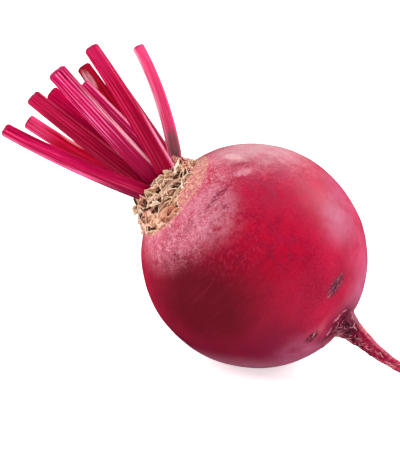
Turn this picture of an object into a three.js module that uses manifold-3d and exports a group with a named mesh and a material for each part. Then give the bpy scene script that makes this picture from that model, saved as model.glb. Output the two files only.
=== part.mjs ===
// A whole beetroot, lying on its side: the swollen root with its tap-root tail, the corky crown
// with its papery leaf bases, and the cut-back leaf stalks that stand in the crown.
// Millimetres, +Z up. The origin is the middle of the small flat spot that the root rests on.

import * as THREE from 'three';
import { mergeVertices } from 'three/addons/utils/BufferGeometryUtils.js';
import Module from 'manifold-3d';

const wasm = await Module();
wasm.setup();

// ---------------------------------------------------------------- driving dimensions

const FIT_GAP = 0.3;                    // clear space between pieces that touch

// The root. Its poles are the crown and the tail, and it lies with the crown up to the left.
const BODY_ACROSS = 83.4;
const BODY_LONG = 84.6;
const BODY_CENTRE = new THREE.Vector3(-1.2, 0.4, 40.5);
const CROWN_LEAN = 51.8;                // degrees from upright, towards -X
const SHOULDER_RADIUS = 15.4;           // flat disc that carries the crown
const LUMP_HEIGHT = 0.45;               // slow unevenness of the skin
const BODY_SIDES = 48;
const BODY_RINGS = 24;

// The tail. It leaves the root a little nearer the front than the crown's opposite pole, bends
// down to the surface and lies along it, thinning out.
const TAIL_AIM = new THREE.Vector3(0.787, -0.339, -0.516).normalize();
const TAIL_PROFILE = [
  // [distance from the body's centre, radius]
  [112.6, 0.55], [104, 0.75], [91, 1.0], [80, 1.25], [69.5, 1.6], [60, 2.25],
  [50, 3.35], [45.6, 4.2], [43.2, 4.9], [41.9, 5.8], [41.3, 7.2],
];
const TAIL_TIP = 113.2;
const TAIL_FOOT_RADIUS = 9;             // its flare ends on the body at this distance from the pole
const TAIL_TURN_ALL = 24;               // degrees from the tail's pole: the body turns fully with
const TAIL_TURN_NONE = 88;              // it inside the first, and not at all beyond the second
const TAIL_PATH = [
  // points of its middle line after it has left the root
  [37.8, -16.6, 14.3], [45.2, -19.6, 8.8], [53.0, -22.8, 4.6], [62.1, -26.6, 1.95],
  [78.6, -30.2, 1.36], [99.6, -29.6, 0.78],
];
const TAIL_SPINE_START = 20;            // its middle line is straight from here to the root's skin
const TAIL_BEND_START = 42;
const TAIL_BEND_END = 49;
const TAIL_RINGS = 25;
const TAIL_KNOT_HEIGHT = 0.09;          // share of its radius that its ring wrinkles stand up

// The crown: a corky neck, tilted up a little from the root's own axis.
const CROWN_TILT = 8;                   // degrees
const NECK_FOOT_RADIUS = 15.9;
const NECK_TOP_RADIUS = 11.1;
const NECK_HEIGHT = 8.2;
const NECK_DEPTH = 3.4;                 // how far it reaches down, before the root's top is cut away
const NECK_SKIRT = 1.05;                // limit of its spread below its foot
const APRON_SPREAD = 5.0;               // how far the cork runs out over the shoulder
const APRON_TOP = 0.8;
const APRON_EDGE = -2.7;
const APRON_HEADING = 290;              // degrees round the neck from +X, towards the front
const NECK_SIDES = 36;
const NECK_FLUTE_COUNT = 18;
const NECK_FLUTE_HEIGHT = 0.22;
const NECK_DOME = 0.5;                  // rise of its top towards the middle

// Dried leaf bases round the neck, in rows from the shoulder to the ragged cuff at the top. The
// first row only covers the front, where the cork spreads out over the shoulder. from and to are
// degrees round the neck from +X, sunk is how deep a flake's lower edge lies in what it stands on,
// and rise is the share that one at the front or back is taller than one at the sides.
const SCALE_ROWS = [
  { count: 4, from: 248, to: 352, foot: -2.5, height: 3.4, width: 7.6, sunk: 0.3, lift: 0.4, rise: 0 },
  { count: 10, from: 0, to: 360, foot: -1.0, height: 3.8, width: 10, sunk: 0.4, lift: 0.6, rise: 0.2 },
  { count: 9, from: 20, to: 380, foot: 1.0, height: 4.1, width: 9.8, sunk: 0.6, lift: 1.0, rise: 0.3 },
  { count: 8, from: 0, to: 360, foot: 3.3, height: 4.3, width: 9.2, sunk: 0.6, lift: 1.0, rise: 0.5 },
  { count: 8, from: 20, to: 380, foot: 5.4, height: 4.8, width: 8.0, sunk: 0.6, lift: 0.4, rise: 0.5 },
];
const SCALE_THICKNESS = 0.8;
const SHOULDER_STRETCH = 2.1;           // level distance for one along the shoulder's normal
const SHOULDER_REACH = 2.2;             // how far past the neck one may run out over the shoulder
const SCALE_SEED = 41;

// Leaf stalks, cut back to about the same length. In the crown's frame, with its axis up:
// foot is where the stalk's middle leaves the neck, fan and away are the lean of its tip along
// X and Y in degrees, bow pushes its middle out, wide and thick are its section at foot and tip,
// and groove is the direction, in degrees from +X, that its hollow side faces.
const STALK_SUNK = 4.4;
const STALK_SUNK_FULLNESS = 0.78;       // share of its width at its sunk end
const STALK_END_FULLNESS = 0.78;        // and at its rounded cut end
const STALK_HOLLOW = 0.62;              // share of its half thickness that the hollow side gives up
const STALK_SIDES = 18;
const STALK_RINGS = 11;
const STALKS = [
  {
    foot: [-4.8, -7.0], fan: -19.2, away: -8, bow: [-2.6, -0.6], long: 57,
    wide: [7.2, 5.0], thick: [3.9, 3.7], groove: 80,
  },
  {
    foot: [-6.2, 6.8], fan: -17, away: 2, bow: [-2.9, 0.2], long: 49.3,
    wide: [6.0, 6.0], thick: [3.8, 3.3], groove: 312,
  },
  {
    foot: [-5.0, 2.2], fan: -6, away: -4, bow: [-0.6, 0.2], long: 54,
    wide: [7.6, 6.5], thick: [3.8, 3.6], groove: 75,
  },
  {
    foot: [2.0, 2.2], fan: -10, away: 6, bow: [-0.8, 0.4], long: 50,
    wide: [6.4, 5.6], thick: [3.8, 3.2], groove: 275,
  },
  {
    foot: [0.4, -2.4], fan: 4, away: -9, bow: [-0.6, 0.0], long: 56,
    wide: [7.2, 7.2], thick: [3.9, 3.9], groove: 92,
  },
  {
    foot: [6.2, -2.1], fan: 0, away: 1, bow: [0.0, 0.0], long: 44,
    wide: [4.1, 3.9], thick: [3.7, 3.0], groove: 95,
  },
  {
    foot: [1.2, 6.9], fan: 8.3, away: 6, bow: [-0.4, 0.4], long: 48,
    wide: [7.6, 5.4], thick: [3.8, 3.2], groove: 265,
  },
  {
    foot: [5.8, -7.0], fan: 14, away: -2, bow: [1.8, 0.0], long: 54.2,
    wide: [7.4, 5.4], thick: [3.9, 3.6], groove: 100,
  },
  {
    foot: [9.2, 1.8], fan: 26.3, away: 7, bow: [5.0, 0.2], long: 44.1,
    wide: [5.8, 5.2], thick: [3.9, 3.4], groove: 235,
  },
  {
    foot: [7.4, 6.4], fan: 9, away: 9, bow: [0.6, 1.0], long: 42,
    wide: [4.6, 4.0], thick: [3.6, 3.2], groove: 235,
  },
];

// ---------------------------------------------------------------- materials

const skin = new THREE.MeshStandardMaterial({ color: '#b01f3f', roughness: 0.5, metalness: 0 });
const cork = new THREE.MeshStandardMaterial({ color: '#c9a77c', roughness: 0.9, metalness: 0 });
const stalkFlesh = new THREE.MeshStandardMaterial({ color: '#c8104e', roughness: 0.4, metalness: 0 });

// ---------------------------------------------------------------- small tools

const radians = THREE.MathUtils.degToRad;
const { clamp, lerp, smoothstep } = THREE.MathUtils;

// A draw between 0 and 1 that gives the same run of numbers each time.
function seededDraw(seed) {
  let state = seed;
  return () => {
    state = (state * 1103515245 + 12345) % 2147483648;
    return state / 2147483648;
  };
}

// Moves each vertex of a geometry by a rule that changes the vector it is given.
function moveVertices(geometry, rule) {
  const places = geometry.attributes.position;
  const place = new THREE.Vector3();
  for (let i = 0; i < places.count; i += 1) {
    place.fromBufferAttribute(places, i);
    rule(place);
    places.setXYZ(i, place.x, place.y, place.z);
  }
  return geometry;
}

// A closed solid from a geometry: shared corners are merged, and the flat triangles that a
// pole or a cap's middle leaves are dropped.
function solidOf(geometry) {
  const bare = geometry.clone();
  bare.deleteAttribute('normal');
  bare.deleteAttribute('uv');
  const merged = mergeVertices(bare);
  const corners = merged.index.array;
  const triangles = [];
  for (let i = 0; i < corners.length; i += 3) {
    const [a, b, c] = [corners[i], corners[i + 1], corners[i + 2]];
    if (a !== b && b !== c && c !== a) {
      triangles.push(a, b, c);
    }
  }
  return new wasm.Manifold(new wasm.Mesh({
    numProp: 3,
    vertProperties: merged.attributes.position.array,
    triVerts: new Uint32Array(triangles),
  }));
}

// The largest body of a solid, without the loose scraps that a cut can leave.
function mainBody(solid) {
  const bodies = solid.decompose();
  return bodies.reduce((largest, body) => (body.volume() > largest.volume() ? body : largest));
}

function geometryOf(solid) {
  const { vertProperties, triVerts } = solid.getMesh();
  const geometry = new THREE.BufferGeometry();
  geometry.setAttribute('position', new THREE.BufferAttribute(vertProperties, 3));
  geometry.setIndex(new THREE.BufferAttribute(triVerts, 1));
  geometry.computeVertexNormals();
  return geometry;
}

function namedMesh(name, geometry, material) {
  const mesh = new THREE.Mesh(geometry, material);
  mesh.name = name;
  return mesh;
}

// ---------------------------------------------------------------- the root

const halfAcross = BODY_ACROSS / 2;
const halfLong = BODY_LONG / 2;
const shoulderAngle = Math.asin(SHOULDER_RADIUS / halfAcross);
const shoulderHeight = halfLong * Math.cos(shoulderAngle);
const tailEdgeAngle = Math.PI - Math.asin(TAIL_FOOT_RADIUS / halfAcross);

// The round side of the root, from an angle near the tail's pole up to the shoulder, measured
// from the crown's pole. grow swells it evenly.
function bodyArc(fromAngle, rings, grow = 0) {
  const points = [];
  for (let i = 0; i <= rings; i += 1) {
    const angle = lerp(fromAngle, shoulderAngle, i / rings);
    points.push(new THREE.Vector2(
      (halfAcross + grow) * Math.sin(angle),
      (halfLong + grow) * Math.cos(angle),
    ));
  }
  return points;
}

// Tail and body as one outline, with the tail still straight down below the body.
function rootOutline() {
  const tailSide = new THREE.SplineCurve(
    TAIL_PROFILE.map(([distance, radius]) => new THREE.Vector2(radius, -distance)),
  );
  return [
    new THREE.Vector2(0, -TAIL_TIP),
    ...tailSide.getPoints(TAIL_RINGS),
    ...bodyArc(tailEdgeAngle, BODY_RINGS),
    new THREE.Vector2(0, shoulderHeight),
  ];
}

const lyingDown = new THREE.Quaternion().setFromAxisAngle(
  new THREE.Vector3(0, 1, 0), -radians(CROWN_LEAN),
);
const straightDown = new THREE.Vector3(0, 0, -1);
const tailTurn = new THREE.Quaternion()
  .setFromUnitVectors(straightDown.clone().applyQuaternion(lyingDown), TAIL_AIM)
  .multiply(lyingDown);

const tailSpine = new THREE.CatmullRomCurve3([
  BODY_CENTRE.clone().addScaledVector(TAIL_AIM, TAIL_SPINE_START),
  BODY_CENTRE.clone().addScaledVector(TAIL_AIM, halfLong),
  ...TAIL_PATH.map(([x, y, z]) => new THREE.Vector3(x, y, z)),
]);
tailSpine.arcLengthDivisions = 800;

// Where a point of the straight outline's solid lies on the real root. The tail's pole is turned
// forward over the body's lower half, and the tail follows its own middle line.
function layRootPoint(place) {
  const distance = -place.z;
  const fromTail = place.angleTo(straightDown);
  const side = Math.sin(fromTail);
  const lumps = Math.sin(place.x * 0.061 + 1.1) * Math.cos(place.y * 0.052 - 0.4)
    + 0.6 * Math.sin(place.z * 0.083 + place.y * 0.04);
  const swell = 1 + (LUMP_HEIGHT * lumps * side * side) / halfAcross;

  const turnShare = 1 - smoothstep(fromTail, radians(TAIL_TURN_ALL), radians(TAIL_TURN_NONE));
  const turn = lyingDown.clone().slerp(tailTurn, turnShare);
  const onBody = place.clone().multiplyScalar(swell).applyQuaternion(turn).add(BODY_CENTRE);
  const tailShare = smoothstep(distance, TAIL_BEND_START, TAIL_BEND_END);
  if (tailShare === 0) {
    place.copy(onBody);
    return;
  }

  const along = Math.min((distance - TAIL_SPINE_START) / tailSpine.getLength(), 1);
  const heading = tailSpine.getTangentAt(along);
  const knots = 1 + TAIL_KNOT_HEIGHT * Math.sin(distance * 1.9) * Math.sin(distance * 0.7 + 1);
  const onTail = new THREE.Vector3(place.x, place.y, 0)
    .multiplyScalar(knots)
    .applyQuaternion(tailTurn)
    .applyQuaternion(new THREE.Quaternion().setFromUnitVectors(TAIL_AIM, heading))
    .add(tailSpine.getPointAt(along));
  place.lerpVectors(onBody, onTail, tailShare);
}

function makeRoot() {
  const grown = new THREE.LatheGeometry(rootOutline(), BODY_SIDES).rotateX(Math.PI / 2);
  moveVertices(grown, layRootPoint);
  const underSurface = new THREE.BoxGeometry(4 * BODY_LONG, 4 * BODY_LONG, BODY_LONG)
    .translate(0, 0, -BODY_LONG / 2);
  return mainBody(solidOf(grown).subtract(solidOf(underSurface)));
}

// ---------------------------------------------------------------- the crown

// The neck's radius at a height and direction in the crown's frame: wide at its foot, drawn in
// above, and with a thin apron on one side of the foot.
function neckRadius(height, around) {
  const below = clamp(1 - height / NECK_HEIGHT, 0, NECK_SKIRT);
  const facing = Math.max(Math.cos(around - radians(APRON_HEADING)), 0);
  const apron = APRON_SPREAD * facing * (1 - smoothstep(height, APRON_EDGE, APRON_TOP));
  return NECK_TOP_RADIUS + (NECK_FOOT_RADIUS - NECK_TOP_RADIUS) * below ** 1.5 + apron;
}

// The radius of the root's round shoulder in the crown's tilted frame, where the middle of the
// body lies to the side as well as below.
function shoulderSkirt(height, around) {
  const rise = shoulderHeight * Math.cos(radians(CROWN_TILT)) + height;
  const aside = shoulderHeight * Math.sin(radians(CROWN_TILT));
  const ring = halfAcross ** 2 - rise ** 2 - (aside * Math.sin(around)) ** 2;
  return aside * Math.cos(around) + Math.sqrt(Math.max(ring, 0));
}

function makeNeck() {
  const outline = [new THREE.Vector2(0, -NECK_DEPTH)];
  const rings = 8;
  for (let i = 0; i <= rings; i += 1) {
    outline.push(new THREE.Vector2(1, lerp(-NECK_DEPTH, NECK_HEIGHT, i / rings)));
  }
  outline.push(new THREE.Vector2(0, NECK_HEIGHT + NECK_DOME));
  const neck = new THREE.LatheGeometry(outline, NECK_SIDES).rotateX(Math.PI / 2);
  moveVertices(neck, (place) => {
    const around = Math.atan2(place.y, place.x);
    const flute = NECK_FLUTE_HEIGHT * Math.cos(around * NECK_FLUTE_COUNT);
    const radius = neckRadius(place.z, around) + flute;
    place.x *= radius;
    place.y *= radius;
  });
  return solidOf(neck);
}

// The neck is tilted, so its foot meets the shoulder higher on one side, by this much at +X.
const shoulderSlope = NECK_FOOT_RADIUS * Math.tan(radians(CROWN_TILT));

// One dried leaf base: a thin curved flake, narrower and torn at its free upper edge, with its
// foot sunk in what it stands on.
function makeScale(row, around, draw) {
  const width = row.width * lerp(0.8, 1.2, draw());
  const height = row.height * lerp(0.8, 1.15, draw()) * (1 + row.rise * Math.sin(around) ** 2);
  const lift = row.lift * lerp(0.5, 1.3, draw());
  const slope = shoulderSlope * Math.cos(around) * (1 - row.foot / NECK_HEIGHT);
  const foot = row.foot + slope + lerp(-0.4, 0.5, draw());
  const slant = lerp(-0.2, 0.2, draw());
  const tear = lerp(2, 4, draw());
  const tearPhase = lerp(0, 6, draw());
  const flake = new THREE.BoxGeometry(1, 1, 1, 4, 2, 1);
  moveVertices(flake, (place) => {
    const across = place.x;
    const up = place.y + 0.5;
    const outer = place.z + 0.5;
    const notch = 0.2 * (1 + Math.sin(across * tear * Math.PI + tearPhase));
    const torn = 1 - up * (notch + 0.6 * across * across);
    const level = foot + height * up * torn + across * slant * width;
    const angle = around + (across * width * (1 - 0.35 * up * up)) / neckRadius(foot, around);
    const proud = lift * up * up + SCALE_THICKNESS * outer - row.sunk * (1 - up);
    const onNeck = neckRadius(level, angle);
    const onShoulder = Math.min(shoulderSkirt(level, angle), onNeck + SHOULDER_REACH);
    const radius = Math.max(onNeck + proud, onShoulder + proud * SHOULDER_STRETCH);
    place.set(radius * Math.cos(angle), radius * Math.sin(angle), level);
  });
  return solidOf(flake);
}

function makeCrown(rootTop, stalkSockets) {
  const draw = seededDraw(SCALE_SEED);
  const pieces = [makeNeck()];
  for (const row of SCALE_ROWS) {
    for (let i = 0; i < row.count; i += 1) {
      const share = (i + lerp(-0.15, 0.15, draw())) / row.count;
      pieces.push(makeScale(row, radians(lerp(row.from, row.to, share)), draw));
    }
  }
  const whole = wasm.Manifold.union(pieces);
  const cutters = wasm.Manifold.union([rootTop, ...stalkSockets]);
  return mainBody(whole.subtract(cutters));
}

// ---------------------------------------------------------------- the leaf stalks

// One stalk in the crown's frame. Its section is a rounded strip with low ribs on its back and
// a hollow on the side that faces the heart of the plant. grow swells it for its socket.
function stalkGeometry(stalk, grow = 0) {
  const lean = new THREE.Vector3(
    Math.tan(radians(stalk.fan)), Math.tan(radians(stalk.away)), 1,
  ).normalize();
  const surface = new THREE.Vector3(stalk.foot[0], stalk.foot[1], NECK_HEIGHT);
  const foot = surface.clone().addScaledVector(lean, -STALK_SUNK);
  const tip = surface.clone().addScaledVector(lean, stalk.long);
  const middle = foot.clone().lerp(tip, 0.5);
  middle.x += stalk.bow[0];
  middle.y += stalk.bow[1];
  const line = new THREE.QuadraticBezierCurve3(foot, middle, tip);
  const length = stalk.long + STALK_SUNK;
  const hollowSide = new THREE.Vector3(1, 0, 0)
    .applyAxisAngle(new THREE.Vector3(0, 0, 1), radians(stalk.groove));

  const geometry = new THREE.CylinderGeometry(1, 1, STALK_RINGS, STALK_SIDES, STALK_RINGS)
    .rotateX(Math.PI / 2);
  const lastRing = STALK_RINGS - 1;
  return moveVertices(geometry, (place) => {
    const ring = Math.round(place.z + STALK_RINGS / 2);
    const along = ring > lastRing ? 1 : (ring / lastRing) * (1 - 0.7 / length);
    const heading = line.getTangent(along);
    const inward = hollowSide.clone().addScaledVector(heading, -hollowSide.dot(heading)).normalize();
    const sideways = inward.clone().cross(heading);

    const sunkShare = smoothstep(along * length, 0, STALK_SUNK + 3);
    const endRound = ring > lastRing ? STALK_END_FULLNESS : 1;
    const fullness = lerp(STALK_SUNK_FULLNESS, 1, sunkShare) * endRound;
    const halfWide = (lerp(stalk.wide[0], stalk.wide[1], along) / 2) * fullness;
    const halfThick = (lerp(stalk.thick[0], stalk.thick[1], along) / 2) * fullness;
    const hollow = place.y > 0 ? 1 - STALK_HOLLOW * place.y * place.y : 1;
    const rib = place.y < 0 ? 1 + 0.07 * Math.cos(5 * Math.atan2(place.y, place.x)) : 1;
    place.copy(line.getPoint(along)
      .addScaledVector(sideways, place.x * (halfWide + grow))
      .addScaledVector(inward, place.y * (halfThick * hollow * rib + grow))
      .addScaledVector(heading, ring === 0 ? -grow : 0));
  });
}

// ---------------------------------------------------------------- put together

const beetroot = new THREE.Group();
beetroot.name = 'beetroot';
beetroot.add(namedMesh('root', geometryOf(makeRoot()), skin));

const axisGroup = new THREE.Group();
axisGroup.position.copy(BODY_CENTRE);
axisGroup.quaternion.copy(lyingDown);
beetroot.add(axisGroup);

const crownGroup = new THREE.Group();
crownGroup.position.set(0, 0, shoulderHeight);
crownGroup.rotation.y = radians(CROWN_TILT);
crownGroup.updateMatrix();
axisGroup.add(crownGroup);

// The root's top swelled by the gap, in the crown's frame, which the crown is cut to fit.
const rootTopGeometry = new THREE.LatheGeometry([
  new THREE.Vector2(0, -halfLong),
  ...bodyArc(Math.PI * 0.9, BODY_RINGS, FIT_GAP),
  new THREE.Vector2(0, shoulderHeight + FIT_GAP),
], BODY_SIDES)
  .rotateX(Math.PI / 2)
  .applyMatrix4(crownGroup.matrix.clone().invert());

const sockets = STALKS.map((stalk) => solidOf(stalkGeometry(stalk, FIT_GAP)));
crownGroup.add(namedMesh('crown', geometryOf(makeCrown(solidOf(rootTopGeometry), sockets)), cork));
STALKS.forEach((stalk, i) => {
  const name = `stalk_${String(i + 1).padStart(2, '0')}`;
  crownGroup.add(namedMesh(name, geometryOf(solidOf(stalkGeometry(stalk))), stalkFlesh));
});

export default beetroot;
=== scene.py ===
"""The looks of a whole beetroot lying on its side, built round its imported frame.

Lengths and places are written in millimetres and turned into Blender's metres by MM. The crown and
the stalks are shaped in the crown's own frame, with its axis up, and then laid in place.
"""

import math
import random

import bmesh
import bpy
from mathutils import Matrix, Quaternion, Vector, noise
from mathutils.geometry import interpolate_bezier


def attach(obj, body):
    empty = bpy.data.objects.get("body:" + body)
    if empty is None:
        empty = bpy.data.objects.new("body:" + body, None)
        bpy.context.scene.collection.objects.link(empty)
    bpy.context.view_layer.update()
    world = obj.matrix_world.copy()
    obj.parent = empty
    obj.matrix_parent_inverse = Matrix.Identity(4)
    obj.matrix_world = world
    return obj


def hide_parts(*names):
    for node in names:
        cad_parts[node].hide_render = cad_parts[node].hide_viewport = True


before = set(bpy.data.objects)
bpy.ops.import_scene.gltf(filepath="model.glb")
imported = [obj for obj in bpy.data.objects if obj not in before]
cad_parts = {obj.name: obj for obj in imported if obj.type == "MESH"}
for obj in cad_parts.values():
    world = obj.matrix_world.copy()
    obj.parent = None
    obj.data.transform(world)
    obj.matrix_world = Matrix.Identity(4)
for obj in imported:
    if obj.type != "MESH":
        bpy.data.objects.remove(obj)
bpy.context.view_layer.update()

MM = 0.001

# ---- driving dimensions

# The root, whose poles are the crown and the tail.
BODY_ACROSS = 83.4
BODY_LONG = 84.6
BODY_CENTRE = Vector((-1.2, 0.4, 40.5))
CROWN_LEAN = 51.8               # degrees from upright, towards -X
SHOULDER_RADIUS = 15.4
LUMP_HEIGHT = 0.45

# The tail: how it leaves the root, its radius along its length, and its middle line.
TAIL_AIM = Vector((0.787, -0.339, -0.516)).normalized()
TAIL_PROFILE = [
    # (distance from the body's centre, radius)
    (41.3, 7.2), (41.9, 5.8), (43.2, 4.9), (45.6, 4.2), (50, 3.35), (60, 2.25),
    (69.5, 1.6), (80, 1.25), (91, 1.0), (104, 0.75), (112.6, 0.55),
]
TAIL_TIP = 113.2
TAIL_PATH = [
    (37.8, -16.6, 14.3), (45.2, -19.6, 8.8), (53.0, -22.8, 4.6), (62.1, -26.6, 1.95),
    (78.6, -30.2, 1.36), (99.6, -29.6, 0.78),
]
TAIL_SPINE_START = 20
TAIL_BEND_START = 42
TAIL_BEND_END = 49
TAIL_FOOT_RADIUS = 9
TAIL_TURN_ALL = 24              # degrees from the tail's pole
TAIL_TURN_NONE = 88

# The crown: a corky neck with rows of dried leaf bases. At the front its cork runs out over the
# root's shoulder as an apron.
CROWN_TILT = 8                  # degrees back from the root's axis
NECK_FOOT_RADIUS = 15.9
NECK_TOP_RADIUS = 11.1
NECK_HEIGHT = 8.2
NECK_DEPTH = 3.4
NECK_SKIRT = 1.05               # share of its height over which it widens
NECK_DOME = 0.5
APRON_SPREAD = 5.0
APRON_TOP = 0.8
APRON_EDGE = -2.7
APRON_HEADING = 290             # degrees from +X

# The leaf stalks, in the crown's frame: foot is where the stalk's middle leaves the neck, fan and
# away lean its tip along X and Y, in degrees, bow pushes its middle out, wide and thick are its
# section at foot and tip, and groove is the direction, in degrees from +X, that its hollow faces.
STALK_SUNK = 4.4                # how deep each stands in the neck
STALKS = {
    # name: foot, fan, away, bow, length over the neck, wide, thick, groove
    "stalk_01": ((-4.8, -7.0), -19.2, -8, (-2.6, -0.6), 57, (7.2, 5.0), (3.9, 3.7), 80),
    "stalk_02": ((-6.2, 6.8), -17, 2, (-2.9, 0.2), 49.3, (6.0, 6.0), (3.8, 3.3), 312),
    "stalk_03": ((-5.0, 2.2), -6, -4, (-0.6, 0.2), 54, (7.6, 6.5), (3.8, 3.6), 75),
    "stalk_04": ((2.0, 2.2), -10, 6, (-0.8, 0.4), 50, (6.4, 5.6), (3.8, 3.2), 275),
    "stalk_05": ((0.4, -2.4), 4, -9, (-0.6, 0.0), 56, (7.2, 7.2), (3.9, 3.9), 92),
    "stalk_06": ((6.2, -2.1), 0, 1, (0.0, 0.0), 44, (4.1, 3.9), (3.7, 3.0), 95),
    "stalk_07": ((1.2, 6.9), 8.3, 6, (-0.4, 0.4), 48, (7.6, 5.4), (3.8, 3.2), 265),
    "stalk_08": ((5.8, -7.0), 14, -2, (1.8, 0.0), 54.2, (7.4, 5.4), (3.9, 3.6), 100),
    "stalk_09": ((9.2, 1.8), 26.3, 7, (5.0, 0.2), 44.1, (5.8, 5.2), (3.9, 3.4), 235),
    "stalk_10": ((7.4, 6.4), 9, 9, (0.6, 1.0), 42, (4.6, 4.0), (3.6, 3.2), 235),
}

HALF_ACROSS = BODY_ACROSS / 2
HALF_LONG = BODY_LONG / 2
SHOULDER_HEIGHT = HALF_LONG * math.cos(math.asin(SHOULDER_RADIUS / HALF_ACROSS))
DOWN = Vector((0, 0, -1))
LYING_DOWN = Quaternion((0, 1, 0), -math.radians(CROWN_LEAN))
TAIL_TURN = (LYING_DOWN @ DOWN).rotation_difference(TAIL_AIM) @ LYING_DOWN
CROWN_PLACE = (
    Matrix.Translation(BODY_CENTRE)
    @ Matrix.Rotation(-math.radians(CROWN_LEAN), 4, "Y")
    @ Matrix.Translation((0, 0, SHOULDER_HEIGHT))
    @ Matrix.Rotation(math.radians(CROWN_TILT), 4, "Y")
)


# ---- small tools

def lerp(low, high, share):
    return low + (high - low) * share


def around_axis(place):
    """A place's direction round the upright axis, in radians from +X."""
    return math.atan2(place.y, place.x)


def polar(radius, around, height):
    return Vector((radius * math.cos(around), radius * math.sin(around), height))


def smoothstep(value, low, high):
    share = min(max((value - low) / (high - low), 0), 1)
    return share * share * (3 - 2 * share)


def smooth_line(points, steps):
    """A smooth line through the points, as a list with that many steps for each span."""
    knots = [Vector(p) for p in points]
    headings = []
    for i, knot in enumerate(knots):
        before = knots[max(i - 1, 0)]
        after = knots[min(i + 1, len(knots) - 1)]
        headings.append(((knot - before).normalized() + (after - knot).normalized()).normalized())
    line = [knots[0]]
    for i in range(len(knots) - 1):
        reach = (knots[i + 1] - knots[i]).length / 3
        out_of = knots[i] + headings[i] * reach
        into = knots[i + 1] - headings[i + 1] * reach
        line += interpolate_bezier(knots[i], out_of, into, knots[i + 1], steps + 1)[1:]
    return line


def point_along(line, distance):
    """The place and heading at a distance along a line of points."""
    for start, end in zip(line, line[1:]):
        span = (end - start).length
        if distance <= span:
            break
        distance -= span
    heading = (end - start).normalized()
    return start + heading * distance, heading


def new_piece(name):
    """Names the primitive that was just added."""
    piece = bpy.context.object
    piece.name = name
    piece.data.name = name
    return piece


def select_where(piece, kind, rule):
    """In edit mode, selects just the edges or faces whose middle, in millimetres, fits the rule."""
    bpy.ops.mesh.select_mode(type=kind)
    bpy.ops.mesh.select_all(action="DESELECT")
    cage = bmesh.from_edit_mesh(piece.data)
    for part in cage.edges if kind == "EDGE" else cage.faces:
        corners = [vertex.co / MM for vertex in part.verts]
        part.select_set(rule(sum(corners, Vector()) / len(corners)))
    bmesh.update_edit_mesh(piece.data)


def move_points(piece, rule):
    """Moves each vertex by a rule from its old place to its new one, both in millimetres."""
    for vertex in piece.data.vertices:
        vertex.co = rule(vertex.co / MM) * MM
    piece.data.update()


def paint(piece, name, rule):
    """Stores a number at each vertex, by a rule on its place in millimetres."""
    layer = piece.data.attributes.new(name, "FLOAT", "POINT")
    layer.data.foreach_set("value", [rule(vertex.co / MM) for vertex in piece.data.vertices])


def map_pattern(piece, rule):
    """Stores where each vertex lies in its pattern, by a rule on its place, both in millimetres."""
    layer = piece.data.attributes.new("pattern", "FLOAT_VECTOR", "POINT")
    for vertex, spot in zip(piece.data.vertices, layer.data):
        spot.vector = rule(vertex.co / MM) * MM


BAR_END_RINGS = 3
BAR_END_STEP = 0.22


def upright_bar(name, sides, length, cuts, foot=0):
    """A round bar of radius 1 with its rings evenly spaced, and smaller rings in each end."""
    half_way = foot + length / 2
    bpy.ops.mesh.primitive_cylinder_add(
        vertices=sides, radius=MM, depth=length * MM, location=(0, 0, half_way * MM))
    bar = new_piece(name)
    bpy.ops.object.transform_apply()
    bpy.ops.object.mode_set(mode="EDIT")
    select_where(bar, "EDGE", lambda middle: abs(middle.z - half_way) < length / 4)
    bpy.ops.mesh.subdivide(number_cuts=cuts)
    select_where(bar, "FACE", lambda middle: middle.xy.length < 0.1)
    for _ in range(BAR_END_RINGS):
        bpy.ops.mesh.inset(thickness=BAR_END_STEP * MM)
    bpy.ops.object.mode_set(mode="OBJECT")
    return bar


def add_modifier(piece, kind, **settings):
    """Adds a modifier with its settings and applies it."""
    bpy.context.view_layer.objects.active = piece
    modifier = piece.modifiers.new(kind.title(), kind)
    for name, value in settings.items():
        setattr(modifier, name, value)
    bpy.ops.object.modifier_apply(modifier=modifier.name)


def put_in_scene(name, data):
    """A new object that holds the mesh, camera or light."""
    holder = bpy.data.objects.new(name, data)
    bpy.context.scene.collection.objects.link(holder)
    return holder


def only_select(*pieces):
    bpy.ops.object.select_all(action="DESELECT")
    for piece in pieces:
        piece.select_set(True)
    bpy.context.view_layer.objects.active = pieces[0]


def join_as(name, pieces):
    """Joins pieces into one object."""
    only_select(*pieces)
    bpy.ops.object.join()
    return new_piece(name)


SMOOTH_ANGLE = math.radians(50)


def finish_piece(piece, material, replaced=()):
    """Gives a piece its material and smooth faces, and sets it on the beetroot's body."""
    piece.data.materials.append(material)
    only_select(piece)
    bpy.ops.object.shade_smooth_by_angle(angle=SMOOTH_ANGLE)
    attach(piece, "root")
    if replaced:
        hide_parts(*replaced)


# ---- materials

def linear(code):
    """An sRGB hex colour as linear light, with alpha."""
    channels = [int(code[i:i + 2], 16) / 255 for i in (1, 3, 5)]
    return [c / 12.92 if c <= 0.04045 else ((c + 0.055) / 1.055) ** 2.4 for c in channels] + [1]


def new_material(name):
    material = bpy.data.materials.new(name)
    material.use_nodes = True
    material.node_tree.nodes.clear()
    return material, material.node_tree


def add(tree, kind, inputs, output=0, stops=(), **settings):
    """Adds a shader node with its settings, and gives one of its outputs. inputs maps its sockets
    to values, hex colours or other outputs. stops are a ramp's places, rising, and hex colours."""
    node = tree.nodes.new("ShaderNode" + kind)
    for name, value in settings.items():
        setattr(node, name, value)
    for i, (place, tone) in enumerate(stops):
        elements = node.color_ramp.elements
        if i >= len(elements):
            elements.new(place)
        elements[i].position = place
        elements[i].color = linear(tone)
    for name, value in inputs.items():
        if isinstance(value, bpy.types.NodeSocket):
            tree.links.new(value, node.inputs[name])
        else:
            node.inputs[name].default_value = linear(value) if isinstance(value, str) else value
    return node.outputs[output] if node.outputs else None


EASED = {"interpolation_type": "SMOOTHSTEP"}    # eases a Map Range in and out
SUM = {"operation": "MULTIPLY_ADD"}             # input 0 times input 1, plus input 2


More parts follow.
